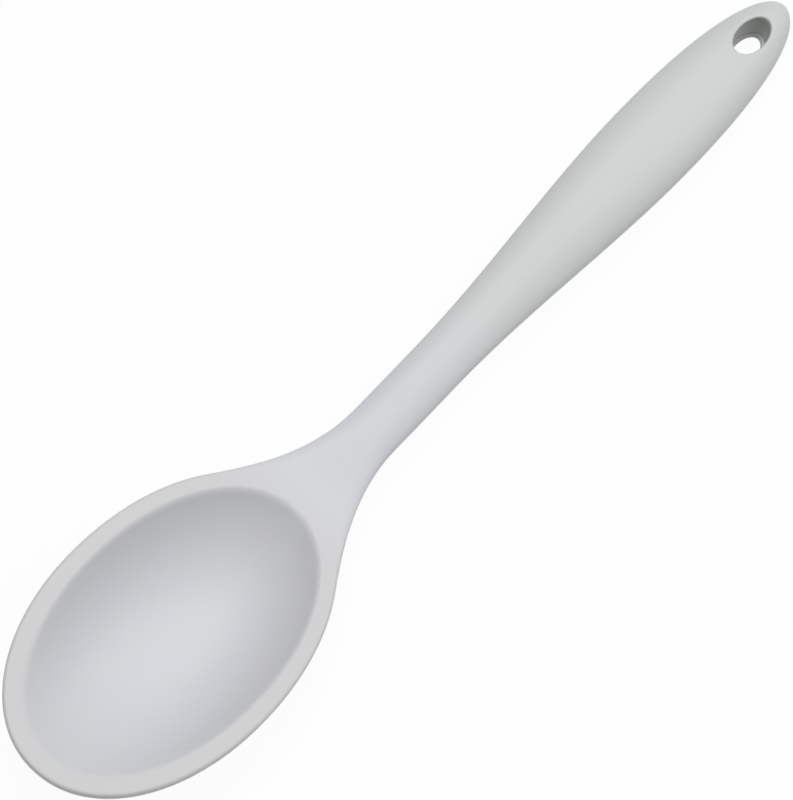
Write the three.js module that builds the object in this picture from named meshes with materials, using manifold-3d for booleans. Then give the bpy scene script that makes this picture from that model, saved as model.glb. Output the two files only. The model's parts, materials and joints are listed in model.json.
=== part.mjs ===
// Silicone cooking spoon: a stiff nylon core inside a seamless silicone skin, lying on a table.
// Millimetres. The spoon is drawn level with its rim: x runs from the bowl to the handle with x = 0 at
// the bowl's widest station, y across it, and z = 0 on the rim. Then it is laid down, with +Z up.
import * as THREE from 'three';
import { mergeVertices } from 'three/addons/utils/BufferGeometryUtils.js';
import Module from 'manifold-3d';

// Plan view: half widths, and the stations along x where they are reached
const BOWL_HALF_WIDTH = 32.35;
const BOWL_TIP = 48.1;
const BOWL_HEEL = 50.4;
const BOWL_POWER = 2.06;
const FLARE_X = 37.4;
const NECK_X = 75.4;
const NECK_HALF_WIDTH = 7.4;
const SWELL_X = 98.8;
const GRIP_X = 181;
const GRIP_HALF_WIDTH = 12.15;
const END_X = 231;
const END_POWER = 2.29;

// Side view: crown is above the parting line, keel is below it
const RIM_EDGE = 1.3;
const BOWL_KEEL = 19.1;
const NECK_CROWN = 3.8;
const NECK_KEEL = 6.1;
const GRIP_CROWN = 6.5;
const GRIP_KEEL = 7.1;
const END_SIDE_POWER = 4;
const SECTION_POWER = 2.1;
const ROUNDING_X = 42;
const ROUNDED_X = 88;
const FULL_ROUND = 0.92;
const RISE = THREE.MathUtils.degToRad(9.5);
const RISE_X = [47, 63];
const DROOP = THREE.MathUtils.degToRad(4);
const DROOP_X = [59, END_X];

// Hollow of the bowl, an oval dish with a soft lip, whose lowest point lies a little towards the neck
const HOLLOW_X = 1.6;
const HOLLOW_LEAN = 2;
const HOLLOW_HALF_LENGTH = 43.9;
const HOLLOW_HALF_WIDTH = 27.3;
const HOLLOW_DEPTH = 15.6;
const HOLLOW_POWER = 2.6;
const LIP_BLEND = 0.7;

// Skin over the core, and the play between the two solids
const SKIN = 1.6;
const GAP = 0.3;
const CORE_EDGE = 0.7;

// Hanging hole, square to the rim, with the lower skin standing a little into it
const HOLE_X = 217.3;
const HOLE_HALF_LENGTH = 6.2;
const HOLE_HALF_WIDTH = 3.85;
const HOLE_MOUTH = 0.8;
const HOLE_LIP = 0.45;

// Windows of the core's spine and keying holes of its cup, which the silicone fills
const WINDOWS = 7;
const WINDOW_SPAN = [80, 202];
const WINDOW_BRIDGE = 5;
const WINDOW_SHARE = 0.38;
const KEYS = 10;
const KEY_RADIUS = 2.2;
const KEY_RING = 0.62;

// Facets of the outside, and of the faces where skin and core meet
const OUTSIDE = {
  tip: 16, heel: 10, flare: 10, swell: 12, end: 11,
  edge: 4, flat: 6, keel: 18,
  sides: 48, rings: 13,
};
const INSIDE = {
  tip: 9, heel: 6, flare: 7, swell: 9, end: 7,
  edge: 2, flat: 4, keel: 12,
  sides: 32, rings: 8,
};
const HOLE_SIDES = 28;
const MOUTH_STEPS = 3;
const ARC_STEPS = 6;
const KEY_SIDES = 8;

// A hair's breadth, a distance well clear of the spoon, and the distance at which points are one
const POLE = 0.01;
const CLEAR = 20;
const SAME = 1e-4;

// Samples of each touching stretch, and rounds, in finding how the spoon lies
const REST_SAMPLES = 400;
const REST_ROUNDS = 12;

const SILICONE = new THREE.MeshStandardMaterial({ color: 0xd3d5d4, roughness: 0.72, metalness: 0 });
const NYLON = new THREE.MeshStandardMaterial({ color: 0x8b8d8a, roughness: 0.6, metalness: 0 });

const wasm = await Module();
wasm.setup();

function facets(inset) {
  return inset > 0 ? INSIDE : OUTSIDE;
}

// Easing from 0 to 1 between two stations
function ease(x, start, stop) {
  return THREE.MathUtils.smoothstep(x, start, stop);
}

// Height gained along x by a slope of 1 that sets in gently between two stations
function bend(x, start, stop) {
  const t = THREE.MathUtils.clamp((x - start) / (stop - start), 0, 1);
  return (stop - start) * (t ** 3 - t ** 4 / 2) + Math.max(x - stop, 0);
}

// Quarter of a superellipse: 1 at t = 0, falling to 0 at t = 1
function quarter(t, power) {
  return Math.max(0, 1 - Math.abs(t) ** power) ** (1 / power);
}

// A sine or cosine for going round a superellipse instead of a circle
function blunt(value, power) {
  return Math.sign(value) * Math.abs(value) ** (2 / power);
}

// A size along the spoon: domed over the bowl, flared into the neck, swelling to the grip, round at the end
function swell(x, bowl, neck, grip, inset, endPower) {
  if (x <= 0) return bowl * quarter(x / (BOWL_TIP - inset), BOWL_POWER);
  const heel = (s) => bowl * quarter(s / (BOWL_HEEL - inset), BOWL_POWER);
  if (x <= FLARE_X) return heel(x);
  if (x < NECK_X) {
    const span = NECK_X - FLARE_X;
    const t = (x - FLARE_X) / span;
    const start = heel(FLARE_X);
    const lean = (heel(FLARE_X) - heel(FLARE_X - POLE)) / POLE;
    const slide = ease(t, 0, 1);
    return (1 - slide) * start + t * (1 - t) ** 2 * span * lean + slide * neck;
  }
  const size = neck + (grip - neck) * ease(x, SWELL_X, GRIP_X);
  return x <= GRIP_X ? size : size * quarter((x - GRIP_X) / (END_X - inset - GRIP_X), endPower);
}

function halfWidth(x, inset) {
  const [bowl, neck, grip] = [BOWL_HALF_WIDTH, NECK_HALF_WIDTH, GRIP_HALF_WIDTH].map((half) => half - inset);
  return swell(x, bowl, neck, grip, inset, END_POWER);
}

// Radius of the rim's outer edge, smaller on the inset core
function rimEdge(inset) {
  return inset > 0 ? CORE_EDGE : RIM_EDGE;
}

// Crown before the grip swells: the rim's thin edge, growing to the round neck
function neckCrown(x, inset) {
  return THREE.MathUtils.lerp(rimEdge(inset), NECK_CROWN - inset, ease(x, ROUNDING_X, ROUNDED_X));
}

// Height of the parting line, where a section is widest
function parting(x, inset) {
  const topLine = Math.tan(RISE) * bend(x, ...RISE_X) - Math.tan(DROOP) * bend(x, ...DROOP_X);
  return topLine - inset - neckCrown(x, inset);
}

function crown(x, inset) {
  const size = neckCrown(x, inset) + (GRIP_CROWN - NECK_CROWN) * ease(x, SWELL_X, GRIP_X);
  return x <= GRIP_X ? size : size * quarter((x - GRIP_X) / (END_X - inset - GRIP_X), END_SIDE_POWER);
}

function keel(x, inset) {
  const bowl = RIM_EDGE + BOWL_KEEL - 2 * inset - rimEdge(inset);
  return swell(x, bowl, NECK_KEEL - inset, GRIP_KEEL - inset, inset, END_SIDE_POWER);
}

// Closed section at x: a flat top with rounded edges, which takes up the whole top on the handle, over a
// domed keel. The rim keeps its edge radius square to the outline, also where the outline turns at the tip.
function section(x, inset) {
  const half = halfWidth(x, inset);
  const lean = Math.hypot(1, (halfWidth(x + POLE / 2, inset) - halfWidth(x - POLE / 2, inset)) / POLE);
  const rim = rimEdge(inset);
  const round = ease(x, ROUNDING_X, ROUNDED_X);
  const edge = Math.min(THREE.MathUtils.lerp(rim * lean, half, round), FULL_ROUND * half);
  const reach = Math.min(x + BOWL_TIP - inset, rim) / rim;
  const top = crown(x, inset) * quarter(1 - reach, 2);
  const depth = keel(x, inset);
  const height = parting(x, inset);
  const steps = facets(inset);
  const ring = [];
  const add = (y, z) => ring.push(new THREE.Vector3(x, y, height + z));
  const bulge = (step) => {
    const turn = (step / steps.edge) * (Math.PI / 2);
    const inwards = edge * (1 - blunt(Math.cos(turn), SECTION_POWER));
    return [half - inwards, top * blunt(Math.sin(turn), SECTION_POWER)];
  };
  for (let i = 0; i < steps.edge; i++) add(...bulge(i));
  for (let i = 0; i <= steps.flat; i++) add((half - edge) * (1 - (2 * i) / steps.flat), top);
  for (let i = steps.edge - 1; i >= 0; i--) {
    const [y, z] = bulge(i);
    add(-y, z);
  }
  for (let i = 1; i < steps.keel; i++) {
    const turn = (i / steps.keel) * Math.PI;
    add(-half * blunt(Math.cos(turn), SECTION_POWER), -depth * blunt(Math.sin(turn), SECTION_POWER));
  }
  return ring;
}

// Skin a stack of closed rings, each closed off at both ends of the stack by a fan to a pole
function loft(rings, firstPole, lastPole) {
  const sides = rings[0].length;
  const points = [firstPole, ...rings.flat(), lastPole];
  const faces = [];
  const at = (ring, side) => 1 + ring * sides + (side % sides);
  for (let side = 0; side < sides; side++) {
    faces.push(0, at(0, side + 1), at(0, side));
    for (let ring = 0; ring + 1 < rings.length; ring++) {
      faces.push(at(ring, side), at(ring, side + 1), at(ring + 1, side + 1));
      faces.push(at(ring, side), at(ring + 1, side + 1), at(ring + 1, side));
    }
    faces.push(points.length - 1, at(rings.length - 1, side), at(rings.length - 1, side + 1));
  }
  const geometry = new THREE.BufferGeometry().setFromPoints(points);
  geometry.setIndex(faces);
  return geometry;
}

// Closed mesh to a solid for cutting and joining, and back
function solid(geometry) {
  geometry.deleteAttribute('normal');
  geometry.deleteAttribute('uv');
  const merged = mergeVertices(geometry, SAME);
  const vertProperties = new Float32Array(merged.attributes.position.array);
  const triVerts = new Uint32Array(merged.index.array);
  return new wasm.Manifold(new wasm.Mesh({ numProp: 3, vertProperties, triVerts }));
}

function geometryOf(shape) {
  const { vertProperties, triVerts } = shape.getMesh();
  const geometry = new THREE.BufferGeometry();
  geometry.setAttribute('position', new THREE.BufferAttribute(vertProperties, 3));
  geometry.setIndex(new THREE.BufferAttribute(triVerts, 1));
  geometry.computeVertexNormals();
  return geometry;
}

// Stations are close where the outline turns: at the tip, in the flare and at the handle's end
function stations(inset) {
  const steps = facets(inset);
  const quarterTurn = Math.PI / 2;
  const tip = BOWL_TIP - inset;
  const tail = END_X - inset - GRIP_X;
  const xs = [];
  for (let i = 0; i < steps.tip; i++) xs.push(-tip * Math.cos((i / steps.tip) * quarterTurn));
  for (let i = 0; i < steps.heel; i++) xs.push((FLARE_X * i) / steps.heel);
  for (let i = 0; i < steps.flare; i++) xs.push(FLARE_X + ((NECK_X - FLARE_X) * i) / steps.flare);
  for (let i = 0; i < steps.swell; i++) xs.push(NECK_X + ((GRIP_X - NECK_X) * i) / steps.swell);
  for (let i = 0; i <= steps.end; i++) xs.push(GRIP_X + tail * Math.sin((i / steps.end) * quarterTurn));
  xs[0] += POLE;
  xs[xs.length - 1] -= POLE;
  return xs;
}

// The whole spoon without its hollow, drawn in from its surface by the inset
function body(inset) {
  const tip = new THREE.Vector3(inset - BOWL_TIP, 0, parting(inset - BOWL_TIP, inset));
  const end = new THREE.Vector3(END_X - inset, 0, parting(END_X - inset, inset));
  return solid(loft(stations(inset).map((x) => section(x, inset)), tip, end));
}

// The dish that hollows the bowl, grown by a wall's thickness where the core has to stay clear of it
function hollow(grow) {
  const steps = facets(grow);
  const depth = HOLLOW_DEPTH + grow;
  const [length, width] = [HOLLOW_HALF_LENGTH + grow, HOLLOW_HALF_WIDTH + grow];
  const centreAt = (share) => HOLLOW_X + HOLLOW_LEAN * (1 - share ** 2);
  const ringAt = (share, z) => {
    const ring = [];
    for (let side = 0; side < steps.sides; side++) {
      const turn = (side / steps.sides) * 2 * Math.PI;
      const along = length * share * blunt(Math.cos(turn), BOWL_POWER);
      const across = width * share * blunt(Math.sin(turn), BOWL_POWER);
      ring.push(new THREE.Vector3(centreAt(share) + along, across, z));
    }
    return ring;
  };
  const lipShare = (1 + LIP_BLEND / depth) ** (1 / HOLLOW_POWER);
  const rings = [];
  for (let i = 1; i <= steps.rings; i++) {
    const share = lipShare * Math.sin((i / steps.rings) * (Math.PI / 2));
    const dish = -depth * (1 - share ** HOLLOW_POWER);
    const blend = Math.max(LIP_BLEND - Math.abs(dish), 0) ** 2 / (4 * LIP_BLEND);
    rings.push(ringAt(share, Math.min(dish, 0) - blend - POLE));
  }
  rings.push(ringAt(lipShare, CLEAR));
  const bottom = new THREE.Vector3(centreAt(0), 0, -depth);
  return solid(loft(rings, bottom, new THREE.Vector3(HOLLOW_X, 0, CLEAR)));
}

// Frame of the hanging hole: square to the rim, but with its rows along the slope of the parting line
const holeSlope = (parting(HOLE_X + POLE, 0) - parting(HOLE_X - POLE, 0)) / (2 * POLE);
const holeFrame = new THREE.Matrix4().makeShear(0, holeSlope, 0, 0, 0, 0);
holeFrame.setPosition(HOLE_X, 0, parting(HOLE_X, 0));

// Oval cutter along the hole's axis, from rows of [offset from the hole's wall, height]
function holeCutter(rows) {
  const rings = rows.map(([offset, z]) => {
    const oval = new THREE.EllipseCurve(0, 0, HOLE_HALF_LENGTH + offset, HOLE_HALF_WIDTH + offset);
    const points = oval.getPoints(HOLE_SIDES).slice(0, HOLE_SIDES);
    return points.map((point) => new THREE.Vector3(point.x, point.y, z));
  });
  const low = new THREE.Vector3(0, 0, rows[0][1]);
  const high = new THREE.Vector3(0, 0, rows[rows.length - 1][1]);
  return solid(loft(rings, low, high).applyMatrix4(holeFrame));
}

// The skin's hole: round mouths, and the ledge of the lower skin
function skinHole() {
  const above = crown(HOLE_X, 0);
  const below = -keel(HOLE_X, 0);
  const ledge = below + SKIN - GAP / 2;
  const rows = [[HOLE_MOUTH - HOLE_LIP, below - CLEAR]];
  const turns = Array.from({ length: MOUTH_STEPS + 1 }, (_, step) => (step / MOUTH_STEPS) * (Math.PI / 2));
  for (const turn of turns) {
    rows.push([HOLE_MOUTH * (1 - Math.sin(turn)) - HOLE_LIP, below + HOLE_MOUTH * (1 - Math.cos(turn))]);
  }
  rows.push([-HOLE_LIP, ledge], [0, ledge]);
  for (const turn of turns.reverse()) {
    rows.push([HOLE_MOUTH * (1 - Math.sin(turn)), above - HOLE_MOUTH * (1 - Math.cos(turn))]);
  }
  rows.push([HOLE_MOUTH, above + CLEAR]);
  return holeCutter(rows);
}

// Oblong windows through the core's spine, as wide as a fixed share of it
function windows(shrink) {
  const [first, last] = WINDOW_SPAN;
  const pitch = (last - first + WINDOW_BRIDGE) / WINDOWS;
  const cutters = [];
  for (let i = 0; i < WINDOWS; i++) {
    const start = first + i * pitch;
    const radius = WINDOW_SHARE * halfWidth(start + pitch / 2, SKIN) - shrink;
    const near = start + shrink + radius;
    const far = start + pitch - WINDOW_BRIDGE - shrink - radius;
    const outline = new THREE.Shape();
    outline.absarc(near, 0, radius, Math.PI / 2, (3 * Math.PI) / 2);
    outline.absarc(far, 0, radius, -Math.PI / 2, Math.PI / 2);
    const through = { depth: 3 * CLEAR, bevelEnabled: false, curveSegments: ARC_STEPS };
    const slot = new THREE.ExtrudeGeometry(outline, through);
    cutters.push(solid(slot.translate(0, 0, -CLEAR / 2)));
  }
  return cutters;
}

// Round keying holes through the core's cup, in a ring half way up its wall
function keys(shrink) {
  const cutters = [];
  for (let i = 0; i < KEYS; i++) {
    const turn = ((i + 0.5) / KEYS) * 2 * Math.PI;
    const radius = KEY_RADIUS - shrink;
    const peg = new THREE.CylinderGeometry(radius, radius, 2 * CLEAR, KEY_SIDES).rotateX(Math.PI / 2);
    const along = HOLLOW_X + KEY_RING * HOLLOW_HALF_LENGTH * Math.cos(turn);
    cutters.push(solid(peg.translate(along, KEY_RING * HOLLOW_HALF_WIDTH * Math.sin(turn), -CLEAR)));
  }
  return cutters;
}

// The nylon core, or with the play added all round it the space that it takes up in the skin
function core(play) {
  let shape = body(SKIN - play).subtract(hollow(SKIN - play));
  for (const cutter of [...windows(play), ...keys(play)]) shape = shape.subtract(cutter);
  return shape;
}

const nylonCore = core(0).subtract(holeCutter([[0, -CLEAR], [0, CLEAR]]));
const siliconeSkin = body(0).subtract(hollow(0)).subtract(core(GAP)).subtract(skinHole());

const skinMesh = new THREE.Mesh(geometryOf(siliconeSkin), SILICONE);
skinMesh.name = 'silicone_skin';
const coreMesh = new THREE.Mesh(geometryOf(nylonCore), NYLON);
coreMesh.name = 'nylon_core';

// Lay the spoon down: the pitch at which the bowl and the handle's end both touch the table
function restPitch() {
  const lowest = (xs, pitch) => {
    const heights = xs.map((x) => (parting(x, 0) - keel(x, 0)) * Math.cos(pitch) - x * Math.sin(pitch));
    return xs[heights.indexOf(Math.min(...heights))];
  };
  const between = (start, stop) =>
    Array.from({ length: REST_SAMPLES }, (_, i) => start + ((stop - start) * i) / REST_SAMPLES);
  const bowlXs = between(0, NECK_X);
  const handleXs = between(GRIP_X, END_X);
  let pitch = 0;
  for (let round = 0; round < REST_ROUNDS; round++) {
    const [front, back] = [lowest(bowlXs, pitch), lowest(handleXs, pitch)];
    const climb = parting(back, 0) - keel(back, 0) - parting(front, 0) + keel(front, 0);
    pitch = Math.atan2(climb, back - front);
  }
  return pitch;
}

const laid = new THREE.Group();
laid.add(skinMesh, coreMesh);
laid.rotation.y = restPitch();

const spoon = new THREE.Group();
spoon.add(laid);
const box = new THREE.Box3().setFromObject(spoon, true);
laid.position.set(-(box.min.x + box.max.x) / 2, 0, -box.min.z);

export default spoon;
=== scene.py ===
"""Silicone spoon: a seamless matte skin moulded over a stiff core, lying on a pale floor. Metres.

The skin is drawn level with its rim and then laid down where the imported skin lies: x runs from the bowl
to the handle with x = 0 at the bowl's widest station, y across the spoon, and z = 0 is the rim.
"""

import json
import math
from collections import namedtuple

import bmesh
import bpy
from bpy.props import FloatProperty, FloatVectorProperty, PointerProperty
from mathutils import Matrix, Vector


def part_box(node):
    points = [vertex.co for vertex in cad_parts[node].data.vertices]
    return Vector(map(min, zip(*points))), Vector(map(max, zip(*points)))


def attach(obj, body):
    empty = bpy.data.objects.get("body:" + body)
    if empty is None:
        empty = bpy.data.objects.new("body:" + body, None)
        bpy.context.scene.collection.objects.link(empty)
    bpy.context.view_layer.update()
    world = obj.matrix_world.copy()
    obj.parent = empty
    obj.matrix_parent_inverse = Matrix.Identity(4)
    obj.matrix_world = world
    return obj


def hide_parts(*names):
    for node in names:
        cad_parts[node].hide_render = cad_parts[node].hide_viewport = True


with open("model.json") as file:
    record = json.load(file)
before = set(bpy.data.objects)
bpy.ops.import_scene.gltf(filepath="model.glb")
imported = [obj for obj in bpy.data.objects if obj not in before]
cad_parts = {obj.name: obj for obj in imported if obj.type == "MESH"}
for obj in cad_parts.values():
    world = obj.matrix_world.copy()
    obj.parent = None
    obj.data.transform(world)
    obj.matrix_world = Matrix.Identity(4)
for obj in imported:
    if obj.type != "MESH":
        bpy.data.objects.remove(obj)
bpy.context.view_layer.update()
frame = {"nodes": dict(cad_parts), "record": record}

bl_info = {
    "name": "Silicone Spoon",
    "version": (1, 0, 0),
    "blender": (4, 5, 0),
    "location": "View3D > Sidebar > Spoon",
    "description": "Builds a one-piece silicone cooking spoon over its stiff core, and a plain studio for it",
    "category": "Add Mesh",
}

MM = 0.001
QUARTER_TURN = math.pi / 2

# A hair's breadth, for slopes
HAIR = 0.01 * MM

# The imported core's facets: how close together the corners of one point lie, and from which angle on an edge
# stays sharp
WELD = 0.001 * MM
SHARP = math.radians(35)

# Where the bowl's rings end and the handle's begin: just past the hollow
NECK_CUT = 57 * MM

# The reworked patch round the hanging hole: its reach along the handle on either side of the hole's centre,
# how far the cavity stands back from the hole, how far the skin bears on the core there, with what play, and
# how sharp the skin's edge is there
HOLE_REACH = 8.4 * MM
CAVITY_SETBACK = 1.2 * MM
SEAT_WIDTH = 0.5 * MM
SEAT_PLAY = 0.05 * MM
SEAT_EDGE = 0.1 * MM

# Spans of the mesh along and across each stretch of the spoon
Spans = namedtuple("Spans", "tip heel flare flat edge keel under land lip dish neck swell grip end")
SKIN_SPANS = Spans(26, 14, 8, 8, 6, 20, 22, 4, 10, 16, 8, 30, 8, 12)
CAVITY_SPANS = Spans(26, 14, 8, 8, 5, 20, 20, 2, 4, 12, 6, 24, 6, 9)
HOLE_SPANS = 10
HOLE_COLUMNS = 8
COLLAR_SPANS = 3
MOUTH_SPANS = 4

# Where the painted light on the silicone changes its grey: off the level of the rim, and along the imported
# spoon from the bowl to the neck and from the neck to the grip
RIM_LIGHT_CHANGE = (0.4 * MM, 1.2 * MM)
NECK_LIGHT_CHANGE = (-55 * MM, -38 * MM)
GRIP_LIGHT_CHANGE = (-40 * MM, 60 * MM)

# Marks in a moulded surface: their size and detail, and how far they change its shade, roughness and height
Marks = namedtuple("Marks", "size detail shade rough height")
GRAIN = Marks(0.6 * MM, 3, 0.03, 0.06, 1)
CLOUDING = Marks(9 * MM, 3, 0.02, 0.06, 0.4)
FLECKS = Marks(0.3 * MM, 2, 0.2, 0.15, 1)

# Moulded surfaces: their least roughness, sheen, strength and depth of relief, and marks
Moulding = namedtuple("Moulding", "roughness sheen relief depth marks")
SILICONE = Moulding(0.46, 0.1, 0.12, 0.05 * MM, (GRAIN, CLOUDING))
NYLON = Moulding(0.5, 0, 0.15, 0.03 * MM, (FLECKS,))

# Studio: even light from all round, how white the floor looks to the camera, and soft square lamps, each with
# its place from the spoon, its side, and the level of light that it gives on the level top of the spoon
WORLD_LEVEL = 0.2
FLOOR_WHITENESS = 0.95
FLOOR_HALF_SIZE = 4.0
WHITE = (1, 1, 1, 1)
Lamp = namedtuple("Lamp", "name place side level")
LAMPS = (
    Lamp("key", Vector((0.30, 0.4, 1.5)), 0.6, 0.48),
    Lamp("fill", Vector((0.60, -0.4, 0.9)), 0.6, 0.225),
)


def length(name, description, millimetres):
    """A size in the sidebar, given in millimetres."""
    default = millimetres * MM
    return FloatProperty(
        name=name, description=description, default=default, subtype="DISTANCE", unit="LENGTH", precision=5
    )


def number(name, description, default):
    """A plain number in the sidebar, such as a power or a share."""
    return FloatProperty(name=name, description=description, default=default, subtype="FACTOR", min=0, max=10)


def angle(name, description, degrees):
    """An angle in the sidebar, given in degrees."""
    default = math.radians(degrees)
    return FloatProperty(
        name=name, description=description, default=default, subtype="ANGLE", unit="ROTATION"
    )


def colour(name, description, default):
    """A colour in the sidebar, in linear light."""
    return FloatVectorProperty(
        name=name, description=description, default=default, subtype="COLOR", min=0, max=1
    )


class BowlSizes(bpy.types.PropertyGroup):
    """The bowl's outline, its keel and its hollow."""

    half_width: length("Half width", "Half the bowl's width at its widest station", 32.35)
    tip: length("Tip", "From the widest station to the bowl's tip", 48.1)
    heel: length("Heel", "From the widest station to where the bowl alone would close", 50.4)
    power: number("Outline power", "2 is an ellipse, more is squarer", 2.06)
    keel: length("Keel", "Depth of the bowl's underside below its rounded rim", 19.4)
    rim_edge: length("Rim edge", "Radius of the rim's outer edge", 1.0)
    hollow_x: length("Hollow station", "Station of the hollow's centre at the rim", 1.6)
    hollow_lean: length("Hollow lean", "How far its lowest point lies from there towards the neck", 2)
    hollow_half_length: length("Hollow half length", "Half the hollow's length at the rim", 43.9)
    hollow_half_width: length("Hollow half width", "Half the hollow's width at the rim", 27.3)
    hollow_depth: length("Hollow depth", "Depth of the hollow below the rim", 15.6)
    hollow_power: number("Hollow power", "2 is a plain dish, more has a flatter floor", 2.6)
    lip: length("Lip", "Softness of the hollow's lip", 1.2)


class HandleSizes(bpy.types.PropertyGroup):
    """The neck and the handle: plan view first, then side view."""

    flare_x: length("Flare station", "Where the bowl's outline starts to flare into the neck", 37.4)
    neck_x: length("Neck station", "Where the neck is reached", 75.4)
    neck_half_width: length("Neck half width", "Half the neck's width", 7.4)
    swell_x: length("Swell station", "Where the handle starts to swell", 98.8)
    grip_x: length("Grip station", "Where the handle is widest", 181)
    grip_half_width: length("Grip half width", "Half the handle's greatest width", 12.15)
    end_x: length("End station", "Where the handle ends", 231)
    end_power: number("End power", "Roundness of the handle's end in plan", 2.29)
    neck_crown: length("Neck crown", "Height of the neck above its widest line", 3.8)
    neck_keel: length("Neck keel", "Depth of the neck below its widest line", 6.1)
    grip_crown: length("Grip crown", "Height of the grip above its widest line", 6.5)
    grip_keel: length("Grip keel", "Depth of the grip below its widest line", 7.1)
    end_side_power: number("End side power", "Roundness of the handle's end from the side", 4)
    section_power: number("Section power", "Roundness of the sections across the spoon", 2.1)
    rounding_x: length("Rounding station", "Where the rim's edge starts to grow into a round neck", 42)
    rounded_x: length("Rounded station", "Where the handle is round all over", 88)
    full_round: number("Full round", "Share of a round section's half width that its edge takes up", 0.92)
    rise: angle("Rise", "Slope of the handle above the rim", 9.5)
    rise_start: length("Rise start", "Where the handle starts to rise", 47)
    rise_stop: length("Rise stop", "Where the handle has its full rise", 63)
    droop: angle("Droop", "Slope that the handle loses again towards its end", 4)
    droop_start: length("Droop start", "Where the handle starts to droop", 59)


class SkinSizes(bpy.types.PropertyGroup):
    """The skin's wall over the core, and its hanging hole."""

    wall: length("Wall", "Thickness of the silicone over the core", 1.6)
    play: length("Play", "Play between the skin's cavity and the core", 0.3)
    core_edge: length("Core edge", "Radius of the cavity's edge along the rim", 0.7)
    hole_x: length("Hole station", "Station of the hanging hole's centre", 217.3)
    hole_half_length: length("Hole half length", "Half the hole's length along the handle", 6.2)
    hole_half_width: length("Hole half width", "Half the hole's width", 3.85)
    hole_mouth: length("Hole mouth", "Radius of the hole's upper mouth", 0.8)
    lower_mouth: length("Lower mouth", "Radius of the hole's lower mouth", 0.3)
    hole_lip: length("Hole lip", "How far the lower skin stands into the hole", 0.45)
    hole_draft: length("Hole draft", "How much further the lower skin leans in on its way down", 0.3)


class FinishColours(bpy.types.PropertyGroup):
    """Colours of the moulded silicone with its painted light, the bare core and the floor."""

    # Painted light: the silicone is one grey, and these four are lit copies of it with the light's tint and
    # brightness painted in: cooler off the rim, plain at the rim, lighter and cooler on the neck, darker and
    # greener on the grip
    silicone: colour("Silicone", "Cool light grey of the bowl", (0.663, 0.668, 0.699))
    silicone_rim_lit: colour("Silicone at the rim", "Plain light grey of the bowl's rim", (0.649, 0.651, 0.661))
    silicone_neck_lit: colour("Silicone at the neck", "Cool light grey of the neck", (0.682, 0.688, 0.722))
    silicone_grip_lit: colour("Silicone at the grip", "Light grey of the grip", (0.633, 0.648, 0.641))
    nylon: colour("Nylon", "Mid grey of the bare core in the hanging hole", (0.56, 0.57, 0.55))
    floor: colour("Floor", "Plain pale floor", (0.90, 0.90, 0.90))


class StageSizes(bpy.types.PropertyGroup):
    """The studio's camera."""

    azimuth: angle("Azimuth", "Camera's turn about the spoon", -46.886)
    elevation: angle("Elevation", "Camera's height above the horizon", 77)
    distance: length("Distance", "From the camera to its target", 1000)
    target_x: length("Target x", "Point that the camera looks at, along the spoon", -7.208)
    target_y: length("Target y", "Point that the camera looks at, across the spoon", 1.624)
    target_z: length("Target z", "Point that the camera looks at, above the floor", 8)
    lens: length("Lens", "Focal length on a sensor that is 36 mm long", 175.93)


class SpoonSettings(bpy.types.PropertyGroup):
    """Everything about the spoon that can be changed in the sidebar."""

    bowl: PointerProperty(type=BowlSizes)
    handle: PointerProperty(type=HandleSizes)
    skin: PointerProperty(type=SkinSizes)
    finish: PointerProperty(type=FinishColours)
    stage: PointerProperty(type=StageSizes)


def lerp(start, stop, part):
    """The value a part of the way from start to stop."""
    return start + (stop - start) * part


def ease(x, start, stop):
    """Easing from 0 to 1 between two stations."""
    t = min(max((x - start) / (stop - start), 0), 1)
    return t * t * (3 - 2 * t)


def bend(x, start, stop):
    """Height gained along x by a slope of 1 that sets in gently between two stations."""
    t = min(max((x - start) / (stop - start), 0), 1)
    return (stop - start) * (t**3 - t**4 / 2) + max(x - stop, 0)


def quarter(t, power):
    """Quarter of a superellipse: 1 at t = 0, falling to 0 at t = 1."""
    return max(0.0, 1 - abs(t) ** power) ** (1 / power)


def signed_power(value, power):
    """A power of a value that keeps its sign."""
    return math.copysign(abs(value) ** power, value)


def spaced(start, stop, spans):
    """Even steps from start to stop, both included."""
    return [lerp(start, stop, i / spans) for i in range(spans + 1)]


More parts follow.
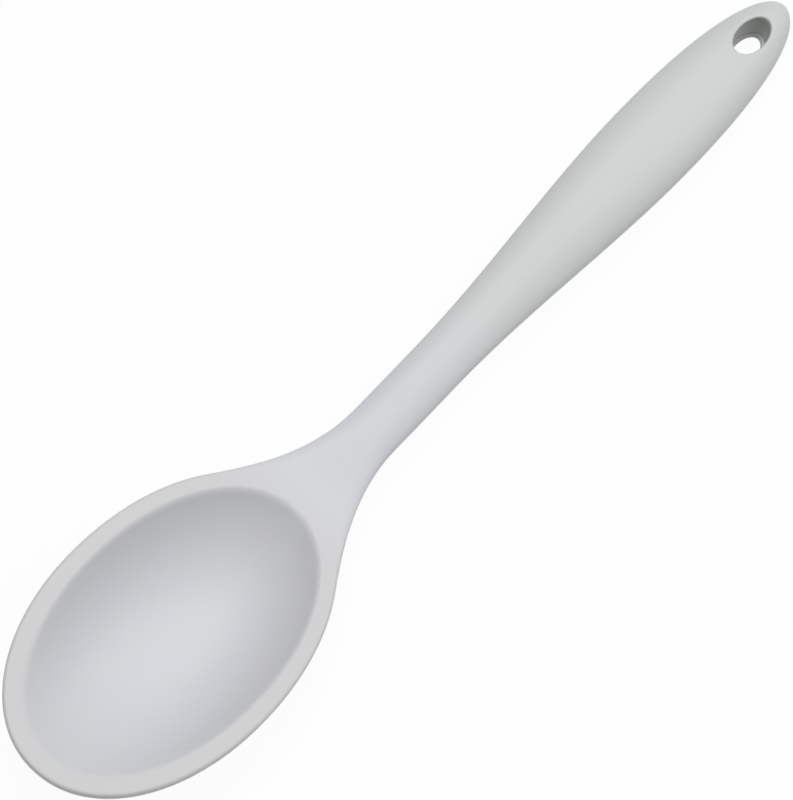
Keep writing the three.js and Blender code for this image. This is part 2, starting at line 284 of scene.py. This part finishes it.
class SpoonForm:
    """The spoon's outside, level with its rim, or the same form drawn in by an inset."""

    def __init__(self, settings, inset=0.0):
        self.bowl = settings.bowl
        self.handle = settings.handle
        self.inset = inset
        self.rim_edge = settings.skin.core_edge if inset else settings.bowl.rim_edge
        self.tip = self.bowl.tip - inset
        self.heel = self.bowl.heel - inset
        self.end = self.handle.end_x - inset
        self.dish_length = self.bowl.hollow_half_length + inset
        self.dish_width = self.bowl.hollow_half_width + inset
        self.dish_depth = self.bowl.hollow_depth + inset
        self.curve = 2 / self.handle.section_power

    def swell(self, x, bowl, neck, grip, end_power):
        """A size along the spoon: domed over the bowl, flared into the neck, swelling, round at the end."""
        flare_x, neck_x = self.handle.flare_x, self.handle.neck_x
        if x <= flare_x:
            return bowl * self.bowl_round(x)
        if x < neck_x:
            start = bowl * self.bowl_round(flare_x)
            lean = (start - bowl * self.bowl_round(flare_x - HAIR)) / HAIR
            t = (x - flare_x) / (neck_x - flare_x)
            return lerp(start, neck, ease(t, 0, 1)) + t * (1 - t) ** 2 * (neck_x - flare_x) * lean
        swollen = ease(x, self.handle.swell_x, self.handle.grip_x)
        return lerp(neck, grip, swollen) * self.end_round(x, end_power)

    def bowl_round(self, x):
        """The share of a size that the bowl's round outline leaves."""
        return quarter(x / (self.tip if x < 0 else self.heel), self.bowl.power)

    def end_round(self, x, power):
        """The share of a size that the handle's round end leaves."""
        grip_x = self.handle.grip_x
        return quarter(min(max(x - grip_x, 0) / (self.end - grip_x), 1), power)

    def half_width(self, x):
        """Half the spoon's width."""
        sizes = (self.bowl.half_width, self.handle.neck_half_width, self.handle.grip_half_width)
        return self.swell(x, *(size - self.inset for size in sizes), self.handle.end_power)

    def lean(self, x):
        """Slope of the outline."""
        return (self.half_width(x + HAIR) - self.half_width(x - HAIR)) / (2 * HAIR)

    def top_line(self, x):
        """Height of the flat top, before the grip's own crown."""
        handle = self.handle
        rise = math.tan(handle.rise) * bend(x, handle.rise_start, handle.rise_stop)
        return rise - math.tan(handle.droop) * bend(x, handle.droop_start, handle.end_x) - self.inset

    def neck_crown(self, x):
        """Crown before the grip swells: the rim's thin edge, growing to the round neck."""
        grown = ease(x, self.handle.rounding_x, self.handle.rounded_x)
        return lerp(self.rim_edge, self.handle.neck_crown - self.inset, grown)

    def parting(self, x):
        """Height of the widest line."""
        return self.top_line(x) - self.neck_crown(x)

    def crown(self, x):
        """Height of the top above the widest line."""
        handle = self.handle
        grown = (handle.grip_crown - handle.neck_crown) * ease(x, handle.swell_x, handle.grip_x)
        return (self.neck_crown(x) + grown) * self.end_round(x, handle.end_side_power)

    def keel(self, x):
        """Depth of the underside below the widest line."""
        bowl = self.bowl.rim_edge + self.bowl.keel - 2 * self.inset - self.rim_edge
        sizes = (bowl, self.handle.neck_keel - self.inset, self.handle.grip_keel - self.inset)
        return self.swell(x, *sizes, self.handle.end_side_power)

    def edge(self, x):
        """Width of the rounded edge across the section at x, which takes up the whole top on the handle."""
        half = self.half_width(x)
        grown = ease(x, self.handle.rounding_x, self.handle.rounded_x)
        width = lerp(self.rim_edge * math.hypot(1, self.lean(x)), half, grown)
        return min(width, self.handle.full_round * half)

    def top(self, x, y):
        """Height of the upper side of the neck and the handle."""
        edge = self.edge(x)
        over = max(abs(y) - self.half_width(x) + edge, 0)
        return self.parting(x) + self.crown(x) * quarter(min(over / edge, 1), self.handle.section_power)

    def under(self, x, y):
        """Height of the underside."""
        across = min(abs(y) / max(self.half_width(x), HAIR), 1)
        return self.parting(x) - self.keel(x) * quarter(across, self.handle.section_power)

    def dish_outline(self, bearing):
        """Reach of the hollow at the rim in the direction of a bearing, both from the hollow's centre."""
        power = self.bowl.power
        beyond = abs(bearing.x / self.dish_length) ** power + abs(bearing.y / self.dish_width) ** power
        return bearing / beyond ** (1 / power)

    def dish_centre(self, part):
        """Centre of the hollow at a part of its half length: nearer to the neck the deeper it is."""
        return Vector((self.bowl.hollow_x + self.bowl.hollow_lean * (1 - part**2), 0))

    def dish(self, part):
        """Height of the hollow at a part of its half length, with the soft lip that runs out into the rim."""
        depth = self.dish_depth * (1 - part**self.bowl.hollow_power)
        softened = max(self.bowl.lip - abs(depth), 0) ** 2 / (4 * self.bowl.lip)
        return min(-max(depth, 0) - softened, -self.inset)

    def dish_part(self, depth):
        """The part of the hollow's half length at which it is so deep, before its lip is softened."""
        return (1 - depth / self.dish_depth) ** (1 / self.bowl.hollow_power)

    def outline(self, spans):
        """The outline of bowl and flare in plan, from one side of the neck round the tip to the other."""
        flare_x, curve = self.handle.flare_x, 2 / self.bowl.power
        flare_turn = math.asin((flare_x / self.heel) ** (1 / curve))
        stations = spaced(NECK_CUT, flare_x, spans.flare)[:-1]
        stations += [self.heel * math.sin(turn) ** curve for turn in spaced(flare_turn, 0, spans.heel)]
        stations += [-self.tip * math.sin(turn) ** curve for turn in spaced(0, QUARTER_TURN, spans.tip)[1:-1]]
        side = [(x, self.half_width(x)) for x in stations]
        return side + [(-self.tip, 0.0)] + [(x, -y) for x, y in reversed(side)]

    def inward(self, x, y):
        """Direction in over the rim from its outline: square to it, but straight across at the neck's cut."""
        side = math.copysign(1, y)
        if x > self.handle.flare_x:
            square = Vector((self.lean(x), -side)).normalized()
        else:
            steep = self.bowl.power - 1
            reach = self.tip if x < 0 else self.heel
            wide = self.bowl.half_width - self.inset
            steepest = Vector((signed_power(x / reach, steep) / reach, signed_power(y / wide, steep) / wide))
            square = -steepest.normalized()
        return square.lerp(Vector((0, -side)), ease(x, self.handle.flare_x, NECK_CUT))

    def rim_band(self, x, y, turn):
        """A point of the rim's rounded edge, a turn up from the outline."""
        width = self.rim_edge
        if x > self.handle.flare_x:
            slant = math.hypot(1, self.lean(x))
            width = self.edge(x) / lerp(slant, 1, ease(x, self.handle.flare_x, NECK_CUT))
        step = self.inward(x, y) * width * (1 - math.cos(turn) ** self.curve)
        climb = self.crown(x) * math.sin(turn) ** self.curve
        level = self.parting(x) + self.top_line(x + step.x) - self.top_line(x)
        return Vector((x + step.x, y + step.y, level + climb))

    def stations(self, spans, hole_x):
        """Stations along the handle past the neck's cut, even along the patch round the hanging hole."""
        neck_x, grip_x = self.handle.neck_x, self.handle.grip_x
        tail = self.end - grip_x
        hole_start, hole_stop = hole_x - HOLE_REACH, hole_x + HOLE_REACH
        turn = math.asin((hole_stop - grip_x) / tail)
        return (
            spaced(NECK_CUT, neck_x, spans.neck)[1:]
            + spaced(neck_x, grip_x, spans.swell)[1:]
            + spaced(grip_x, hole_start, spans.grip)[1:]
            + spaced(hole_start, hole_stop, HOLE_SPANS)[1:]
            + [grip_x + tail * math.sin(t) for t in spaced(turn, QUARTER_TURN, spans.end)[1:-1]]
        )


class HangingHole:
    """The oval hanging hole, square to the rim."""

    def __init__(self, skin):
        self.x = skin.hole_x
        self.half_length = skin.hole_half_length
        self.half_width = skin.hole_half_width

    def bearing(self, point):
        """The turn round the hole at which a point lies."""
        return math.atan2(point.y / self.half_width, (point.x - self.x) / self.half_length)

    def wall(self, turn, offset):
        """A place on the hole's wall in plan at a turn, moved out by an offset."""
        across = (self.half_width + offset) * math.sin(turn)
        return Vector((self.x + (self.half_length + offset) * math.cos(turn), across))


def onto(surface, place, lift=0.0):
    """The point over a place in plan that lies on a surface, or a lift above it."""
    return Vector((*place, surface(*place) + lift))


def ring_edges(bm, ring, closed=True):
    """The edges along a ring of vertices or, if it isn't closed, along a chain."""
    return [bm.edges.get(pair) for pair in zip(ring, ring[1:] + ring[:1] if closed else ring[1:])]


def extrude_ring(bm, ring, points, closed=True):
    """Extrudes a ring or chain once, and moves the new one to its points."""
    made = bmesh.ops.extrude_edge_only(bm, edges=ring_edges(bm, ring, closed))
    fresh = {item for item in made["geom"] if isinstance(item, bmesh.types.BMVert)}
    grown = []
    for vert, point in zip(ring, points):
        new = next(edge.other_vert(vert) for edge in vert.link_edges if edge.other_vert(vert) in fresh)
        new.co = point
        grown.append(new)
    return grown


def close_ring(bm, ring, pole):
    """Closes a ring with a fan to a pole."""
    face = bmesh.ops.contextual_create(bm, geom=ring_edges(bm, ring))["faces"][0]
    bmesh.ops.poke(bm, faces=[face])["verts"][0].co = pole


Collar = namedtuple("Collar", "ring turns")
Mouth = namedtuple("Mouth", "radius lip draft")


class SpoonShell:
    """One surface of the spoon, its outside or its cavity, which is left open round the hanging hole."""

    def __init__(self, bm, form, spans, hole, upper_offset, lower_offset):
        self.bm, self.form, self.spans, self.hole = bm, form, spans, hole
        outer = self.rim_and_neck()
        self.underside(outer)
        edge = self.rim_edge(outer)
        flat = self.neck_flat(edge[-1])
        self.hollow(edge[-1] + flat[::-1])
        upper = [chain[0] for chain in edge] + flat + [chain[-1] for chain in reversed(edge)]
        lower = outer[len(edge[0]):]
        rings = self.handle(upper, lower)
        last = len(upper) - 1
        self.upper_collar = self.collar(rings, last // 2, form.top, upper_offset)
        self.lower_collar = self.collar(rings, last + spans.keel // 2, form.under, lower_offset)

    def rim_and_neck(self):
        """The outer ring: the outline round the bowl, closed across the underside of the neck."""
        form = self.form
        points = [Vector((x, y, form.parting(x))) for x, y in form.outline(self.spans)]
        half = form.half_width(NECK_CUT)
        points += [Vector((NECK_CUT, y, form.under(NECK_CUT, y))) for y in self.keel_widths(half)]
        circle = bmesh.ops.create_circle(self.bm, segments=len(points), radius=form.heel)["verts"]
        for vert, point in zip(circle, points):
            vert.co = point
        return circle

    def keel_widths(self, half):
        """Places across the underside of a section, between its two sides."""
        turns = spaced(0, math.pi, self.spans.keel)[1:-1]
        return [-half * signed_power(math.cos(turn), self.form.curve) for turn in turns]

    def underside(self, ring):
        """Draws the outer ring in to the lowest point of the bowl."""
        first = [vert.co.xy for vert in ring]
        for turn in spaced(QUARTER_TURN, 0, self.spans.under)[1:-1]:
            places = [place * math.sin(turn) ** self.form.curve for place in first]
            points = [(place.x, place.y, self.form.under(*place)) for place in places]
            ring = extrude_ring(self.bm, ring, points)
        close_ring(self.bm, ring, (0, 0, self.form.under(0, 0)))

    def rim_edge(self, outer):
        """Rolls the outline up and in over the rim's edge, as far as the neck's cut on both sides."""
        outline = self.form.outline(self.spans)
        chains = [outer[:len(outline)]]
        for turn in spaced(0, QUARTER_TURN, self.spans.edge)[1:]:
            points = [self.form.rim_band(x, y, turn) for x, y in outline]
            chains.append(extrude_ring(self.bm, chains[-1], points, closed=False))
        return chains

    def neck_flat(self, inner):
        """The flat top across the neck's cut, between the two ends of the rim's edge."""
        start, stop = inner[0], inner[-1]
        chain = [start]
        for part in spaced(0, 1, self.spans.flat)[1:-1]:
            chain += bmesh.ops.extrude_vert_indiv(self.bm, verts=chain[-1:])["verts"]
            chain[-1].co = start.co.lerp(stop.co, part)
        self.bm.edges.new((chain[-1], stop))
        return chain[1:]

    def hollow(self, ring):
        """Draws the rim's flat land in over the soft lip and down to the hollow's lowest point."""
        form = self.form
        lip_out, lip_in = form.dish_part(-form.bowl.lip), form.dish_part(form.bowl.lip)
        land = [vert.co.xy for vert in ring]
        oval = [form.dish_outline(place - form.dish_centre(1)) for place in land]
        lip = [form.dish_centre(lip_out) + reach * lip_out for reach in oval]
        for part in spaced(0, 1, self.spans.land)[1:]:
            places = [start.lerp(stop, part) for start, stop in zip(land, lip)]
            ring = extrude_ring(self.bm, ring, [(p.x, p.y, form.top_line(p.x)) for p in places])
        parts = spaced(lip_out, lip_in, self.spans.lip)[1:]
        parts += [lip_in * math.sin(turn) for turn in spaced(QUARTER_TURN, 0, self.spans.dish)[1:-1]]
        for part in parts:
            places = [form.dish_centre(part) + reach * part for reach in oval]
            ring = extrude_ring(self.bm, ring, [(*place, form.dish(part)) for place in places])
        close_ring(self.bm, ring, (*form.dish_centre(0), form.dish(0)))

    def handle(self, upper, lower):
        """Draws the neck's section out along the handle to its round end."""
        form, last = self.form, len(upper) - 1
        cut = [vert.co.y / form.half_width(NECK_CUT) for vert in upper]
        even = [signed_power(math.cos(math.pi * i / last), form.curve) for i in range(last + 1)]
        rings = [upper + lower]
        for x in form.stations(self.spans, self.hole.x):
            half = form.half_width(x)
            evened = ease(x, NECK_CUT, form.handle.rounded_x)
            widths = [half * lerp(start, stop, evened) for start, stop in zip(cut, even)]
            points = [(x, y, form.top(x, y)) for y in widths]
            points += [(x, y, form.under(x, y)) for y in self.keel_widths(half)]
            rings.append(extrude_ring(self.bm, rings[-1], points))
        close_ring(self.bm, rings[-1], (form.end, 0, form.parting(form.end)))
        return rings

    def collar(self, rings, middle, surface, offset):
        """Opens a patch of the handle's upper or under side and draws its edge in to an oval."""
        hole, stop, reach = self.hole, len(rings) - self.spans.end, HOLE_COLUMNS // 2
        patch = [ring[middle - reach:middle + reach + 1] for ring in rings[stop - HOLE_SPANS:stop + 1]]
        opened = [
            self.bm.faces.get((near[i], near[i + 1], far[i + 1], far[i]))
            for near, far in zip(patch, patch[1:])
            for i in range(HOLE_COLUMNS)
        ]
        first_side, last_side = ([row[end] for row in patch[1:-1]] for end in (0, -1))
        ring = patch[0] + last_side + patch[-1][::-1] + first_side[::-1]
        bmesh.ops.delete(self.bm, geom=opened, context="FACES")
        starts = [vert.co.xy for vert in ring]
        turns = [hole.bearing(start) for start in starts]
        for part in spaced(0, 1, COLLAR_SPANS)[1:]:
            places = [start.lerp(hole.wall(turn, offset), part) for start, turn in zip(starts, turns)]
            ring = extrude_ring(self.bm, ring, [onto(surface, place) for place in places])
        return Collar(ring, turns)


def roll_into_hole(bm, hole, collar, outside, seat, upward, mouth):
    """Rolls the skin over a mouth of the hole and along its wall, and bears it on the core's eye."""
    ring, turns = collar
    radius, lip, draft = mouth
    steps = [
        (outside, radius * (1 - math.sin(roll)) - lip - draft, -radius * (1 - math.cos(roll)))
        for roll in spaced(0, QUARTER_TURN, MOUTH_SPANS)[1:]
    ]
    steps += [
        (seat, -lip, SEAT_PLAY + SEAT_EDGE),
        (seat, -lip, SEAT_PLAY),
        (seat, SEAT_EDGE - lip, SEAT_PLAY),
        (seat, SEAT_WIDTH, SEAT_PLAY),
    ]
    for surface, offset, lift in steps:
        points = [onto(surface, hole.wall(turn, offset), upward * lift) for turn in turns]
        ring = extrude_ring(bm, ring, points)
    return ring


def model_skin(bm, settings):
    """The silicone skin: outside and cavity, joined through the two mouths of the hanging hole."""
    skin, hole = settings.skin, HangingHole(settings.skin)
    outside = SpoonForm(settings)
    eye = SpoonForm(settings, skin.wall)
    cavity = SpoonForm(settings, skin.wall - skin.play)
    upper, lower = Mouth(skin.hole_mouth, 0, 0), Mouth(skin.lower_mouth, skin.hole_lip, skin.hole_draft)
    offsets = (mouth.radius - mouth.lip - mouth.draft for mouth in (upper, lower))
    shell = SpoonShell(bm, outside, SKIN_SPANS, hole, *offsets)
    lining = SpoonShell(bm, cavity, CAVITY_SPANS, hole, CAVITY_SETBACK, CAVITY_SETBACK)
    mouths = (
        (shell.upper_collar, lining.upper_collar, outside.top, eye.top, 1, upper),
        (shell.lower_collar, lining.lower_collar, outside.under, eye.under, -1, lower),
    )
    for collar, inner, surface, seat, upward, mouth in mouths:
        ring = roll_into_hole(bm, hole, collar, surface, seat, upward, mouth)
        bmesh.ops.bridge_loops(bm, edges=ring_edges(bm, ring) + ring_edges(bm, inner.ring))
    bmesh.ops.recalc_face_normals(bm, faces=bm.faces)


def packed_rim():
    """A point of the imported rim, and the direction square to it."""
    mount = next(mount for mount in frame["record"]["mounts"] if mount["name"] == "rim_face")
    return Vector(mount["pos_m"]), Vector(mount["axis"])


def lay_down(bm, node):
    """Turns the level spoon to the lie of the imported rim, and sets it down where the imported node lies."""
    axis = packed_rim()[1]
    lie = Matrix.Rotation(math.atan2(axis.x, axis.z), 3, "Y")
    bmesh.ops.rotate(bm, verts=bm.verts, cent=(0, 0, 0), matrix=lie)
    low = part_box(node)[0]
    to_low = (low.x - min(vert.co.x for vert in bm.verts), 0, low.z - min(vert.co.z for vert in bm.verts))
    bmesh.ops.translate(bm, verts=bm.verts, vec=to_low)


class Value:
    """A shader value for Python expressions: each operation adds its Math node."""

    def __init__(self, nodes, socket):
        self.nodes, self.socket = nodes, socket

    def math(self, operation, *values):
        """The value that a Math node works out."""
        return self.nodes.add("ShaderNodeMath", {"operation": operation}, dict(enumerate(values)))

    def __add__(self, other):
        return self.math("ADD", self, other)

    def __sub__(self, other):
        return self.math("SUBTRACT", self, other)

    def __rsub__(self, other):
        return self.math("SUBTRACT", other, self)

    def __mul__(self, other):
        return self.math("MULTIPLY", self, other)

    def __or__(self, other):
        return self.math("MAXIMUM", self, other)

    def __abs__(self):
        return self.math("ABSOLUTE", self)

    __radd__ = __add__
    __rmul__ = __mul__


class ShaderNodes:
    """The nodes of a material or of the world."""

    def __init__(self, owner):
        owner.use_nodes = True
        self.tree = owner.node_tree
        self.tree.nodes.clear()

    def add(self, kind, settings=None, sockets=None, output=None):
        """Adds a node, its settings first and then its sockets' values or links, and gives its output."""
        node = self.tree.nodes.new(kind)
        for name, value in (settings or {}).items():
            setattr(node, name, value)
        for name, value in (sockets or {}).items():
            socket = node.inputs[name] if isinstance(name, int) else self.named(node.inputs, name)
            if isinstance(value, Value):
                self.tree.links.new(value.socket, socket)
            else:
                socket.default_value = value
        shown = self.named(node.outputs, output)
        return Value(self, shown) if shown else None

    @staticmethod
    def named(sockets, name):
        """The socket in use of that name, or the first one in use."""
        return next((s for s in sockets if s.enabled and name in (None, s.name)), None)

    def noise(self, place, marks):
        """Soft noise from 0 to 1 with marks of that size and detail."""
        sockets = {"Vector": place, "Scale": 1 / marks.size, "Detail": marks.detail, "Roughness": 0.55}
        return self.add("ShaderNodeTexNoise", None, sockets)

    def ramp(self, value, start, stop):
        """Easing from 0 to 1 as a value goes from start to stop."""
        sockets = {"Value": value, "From Min": start, "From Max": stop}
        return self.add("ShaderNodeMapRange", {"interpolation_type": "SMOOTHSTEP"}, sockets)

    def mix(self, factor, first, second):
        """A colour between two others."""
        sockets = {"Factor": factor, "A": first, "B": second}
        return self.add("ShaderNodeMix", {"data_type": "RGBA"}, sockets)

    def tint(self, colour, strength):
        """A colour made lighter or darker by a value near 1."""
        sockets = {"Vector": colour, "Scale": strength}
        return self.add("ShaderNodeVectorMath", {"operation": "SCALE"}, sockets)

    def seen_directly(self):
        """1 for what the camera sees straight on, in a reflection or through glass, otherwise 0."""
        rays = ("Camera", "Glossy", "Transmission")
        camera, glossy, through = (self.add("ShaderNodeLightPath", output=f"Is {ray} Ray") for ray in rays)
        return camera | glossy | through

    def show(self, shader):
        """Shows a shader on the material's surface."""
        self.add("ShaderNodeOutputMaterial", None, {"Surface": shader})

    def moulded(self, place, colour, moulding):
        """Shows a moulded surface: shade, roughness and relief all follow its marks."""
        shade, rough, height = 1, moulding.roughness, 0
        for marks in moulding.marks:
            noise = self.noise(place, marks)
            shade += (noise - 0.5) * marks.shade
            rough += noise * marks.rough
            height += noise * marks.height
        relief = {"Height": height, "Strength": moulding.relief, "Distance": moulding.depth}
        sockets = {
            "Base Color": self.tint(colour, shade),
            "Roughness": rough,
            "Sheen Weight": moulding.sheen,
            "Normal": self.add("ShaderNodeBump", None, relief),
        }
        self.show(self.add("ShaderNodeBsdfPrincipled", None, sockets))


def opaque(rgb):
    """A colour with its alpha."""
    return (*rgb, 1.0)


def silicone_finish(finish):
    """Matte moulded silicone: fine grain and faint clouding, with painted light: greys that differ a little
    along the spoon and off the rim.
    """
    material = bpy.data.materials.new("silicone")
    nodes = ShaderNodes(material)
    place = nodes.add("ShaderNodeTexCoord", output="Object")
    along = nodes.add("ShaderNodeSeparateXYZ", None, {"Vector": place}, "X")
    rim, axis = packed_rim()
    level = nodes.add("ShaderNodeVectorMath", {"operation": "DOT_PRODUCT"}, {0: place, 1: axis}, "Value")
    # Painted light: the grey is mixed from lit copies of the silicone, plain at the rim, cooler off it, lighter
    # on the neck and greener on the grip
    off_rim = nodes.ramp(abs(level - rim.dot(axis)), *RIM_LIGHT_CHANGE)
    grey = nodes.mix(off_rim, opaque(finish.silicone_rim_lit), opaque(finish.silicone))
    grey = nodes.mix(nodes.ramp(along, *NECK_LIGHT_CHANGE), grey, opaque(finish.silicone_neck_lit))
    grey = nodes.mix(nodes.ramp(along, *GRIP_LIGHT_CHANGE), grey, opaque(finish.silicone_grip_lit))
    nodes.moulded(place, grey, SILICONE)
    return material


def nylon_finish(finish):
    """Glass-filled nylon as it comes out of the mould: mid grey, finely flecked, a little rough."""
    material = bpy.data.materials.new("nylon")
    nodes = ShaderNodes(material)
    nodes.moulded(nodes.add("ShaderNodeTexCoord", output="Object"), finish.nylon, NYLON)
    return material


def floor_finish(finish):
    """A plain pale floor that looks white to the camera and keeps a faint shadow."""
    material = bpy.data.materials.new("floor")
    nodes = ShaderNodes(material)
    matte = nodes.add("ShaderNodeBsdfDiffuse", None, {"Color": opaque(finish.floor)})
    white = nodes.add("ShaderNodeEmission", None, {"Color": WHITE})
    sockets = {0: nodes.seen_directly() * FLOOR_WHITENESS, 1: matte, 2: white}
    nodes.show(nodes.add("ShaderNodeMixShader", None, sockets))
    return material


def studio_world():
    """Even soft light from all round, behind a white background."""
    world = bpy.data.worlds.new("studio")
    nodes = ShaderNodes(world)
    strength = lerp(WORLD_LEVEL, 1, nodes.seen_directly())
    sky = nodes.add("ShaderNodeBackground", None, {"Color": WHITE, "Strength": strength})
    nodes.add("ShaderNodeOutputWorld", None, {"Surface": sky})
    return world


def direction(azimuth, elevation):
    """From the spoon towards a camera or lamp: azimuth 0 is on the -Y side and 90 on the +X side."""
    flat = math.cos(elevation)
    return Vector((math.sin(azimuth) * flat, -math.cos(azimuth) * flat, math.sin(elevation)))


def link(name, data):
    """A new object of the scene."""
    item = bpy.data.objects.new(name, data)
    bpy.context.scene.collection.objects.link(item)
    return item


def mesh_of(name, bm, material):
    """A new mesh of a finished bmesh, with its material."""
    mesh = bpy.data.meshes.new(name)
    bm.to_mesh(mesh)
    bm.free()
    mesh.materials.append(material)
    return mesh


def finish_piece(name, bm, node, material):
    """A new piece of the spoon's only body, shaded smooth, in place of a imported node."""
    piece = link(name, mesh_of(name, bm, material))
    piece.data.shade_smooth()
    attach(piece, "root")
    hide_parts(node)
    return piece


def aim(item, back, distance, target):
    """Sets a camera or lamp at a distance from its target and points it there."""
    item.location = target + back * distance
    item.rotation_mode = "QUATERNION"
    item.rotation_quaternion = (-back).to_track_quat("-Z", "Y")


def lay_floor(finish):
    """Lays the plain floor, which isn't part of the spoon."""
    bm = bmesh.new()
    bmesh.ops.create_grid(bm, x_segments=1, y_segments=1, size=FLOOR_HALF_SIZE)
    link("floor", mesh_of("floor", bm, floor_finish(finish)))


def hang_lamp(lamp, target):
    """Hangs a lamp aimed at the target, with the power that gives its level of light there."""
    data = bpy.data.lights.new(lamp.name, "AREA")
    data.shape = "SQUARE"
    data.size = lamp.side
    away = lamp.place.length
    data.energy = lamp.level * (math.pi * away) ** 2 * away / lamp.place.z
    item = link(lamp.name, data)
    item.visible_camera = False
    aim(item, lamp.place / away, away, target)


def set_up_camera(stage, target):
    """A camera aimed at the target."""
    data = bpy.data.cameras.new("camera")
    data.lens = stage.lens / MM
    camera = link("camera", data)
    aim(camera, direction(stage.azimuth, stage.elevation), stage.distance, target)
    return camera


class SPOON_OT_skin(bpy.types.Operator):
    """Models the silicone skin with its hollow bowl, its hanging hole and the cavity for the core"""

    bl_idname = "spoon.skin"
    bl_label = "Silicone Skin"

    def execute(self, context):
        settings = context.scene.silicone_spoon
        bm = bmesh.new()
        model_skin(bm, settings)
        lay_down(bm, "silicone_skin")
        skin = finish_piece("spoon_skin", bm, "silicone_skin", silicone_finish(settings.finish))
        smooth = skin.modifiers.new("smooth", "SUBSURF")
        smooth.levels = smooth.render_levels = 1
        return {"FINISHED"}


class SPOON_OT_core(bpy.types.Operator):
    """Smooths and finishes the nylon core, which shows bare as the wall of the hanging hole"""

    bl_idname = "spoon.core"
    bl_label = "Nylon Core"

    def execute(self, context):
        bm = bmesh.new()
        bm.from_mesh(frame["nodes"]["nylon_core"].data)
        bmesh.ops.remove_doubles(bm, verts=bm.verts, dist=WELD)
        material = nylon_finish(context.scene.silicone_spoon.finish)
        core = finish_piece("spoon_core", bm, "nylon_core", material).data
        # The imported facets' own normals would hide the smooth shading
        if core.has_custom_normals:
            core.attributes.remove(core.attributes["custom_normal"])
        core.set_sharp_from_angle(angle=SHARP)
        return {"FINISHED"}


class SPOON_OT_stage(bpy.types.Operator):
    """Sets up the plain pale floor, the soft lamps and the camera"""

    bl_idname = "spoon.stage"
    bl_label = "Studio"

    def execute(self, context):
        scene, settings = context.scene, context.scene.silicone_spoon
        stage = settings.stage
        target = Vector((stage.target_x, stage.target_y, stage.target_z))
        lay_floor(settings.finish)
        for lamp in LAMPS:
            hang_lamp(lamp, target)
        scene.world = studio_world()
        scene.view_settings.view_transform = "Standard"
        scene.camera = set_up_camera(stage, target)
        return {"FINISHED"}


class SPOON_PT_sidebar(bpy.types.Panel):
    """The spoon's sizes and colours, and the steps that build it"""

    bl_idname = "SPOON_PT_sidebar"
    bl_label = "Silicone Spoon"
    bl_space_type = "VIEW_3D"
    bl_region_type = "UI"
    bl_category = "Spoon"

    def draw(self, context):
        settings = context.scene.silicone_spoon
        for operator in OPERATORS:
            self.layout.operator(operator.bl_idname)
        for group in (settings.bowl, settings.handle, settings.skin, settings.finish, settings.stage):
            column = self.layout.column(align=True)
            for name in group.__annotations__:
                column.prop(group, name)


OPERATORS = (SPOON_OT_skin, SPOON_OT_core, SPOON_OT_stage)
GROUPS = (BowlSizes, HandleSizes, SkinSizes, FinishColours, StageSizes, SpoonSettings)
CLASSES = (*GROUPS, *OPERATORS, SPOON_PT_sidebar)


def register():
    """Adds the settings, the operators and the panel."""
    for item in CLASSES:
        bpy.utils.register_class(item)
    bpy.types.Scene.silicone_spoon = PointerProperty(type=SpoonSettings)


def unregister():
    """Takes them away again."""
    del bpy.types.Scene.silicone_spoon
    for item in reversed(CLASSES):
        bpy.utils.unregister_class(item)


def main():
    """Builds the spoon and its studio."""
    register()
    bpy.ops.spoon.skin()
    bpy.ops.spoon.core()
    bpy.ops.spoon.stage()


if __name__ == "__main__":
    main()
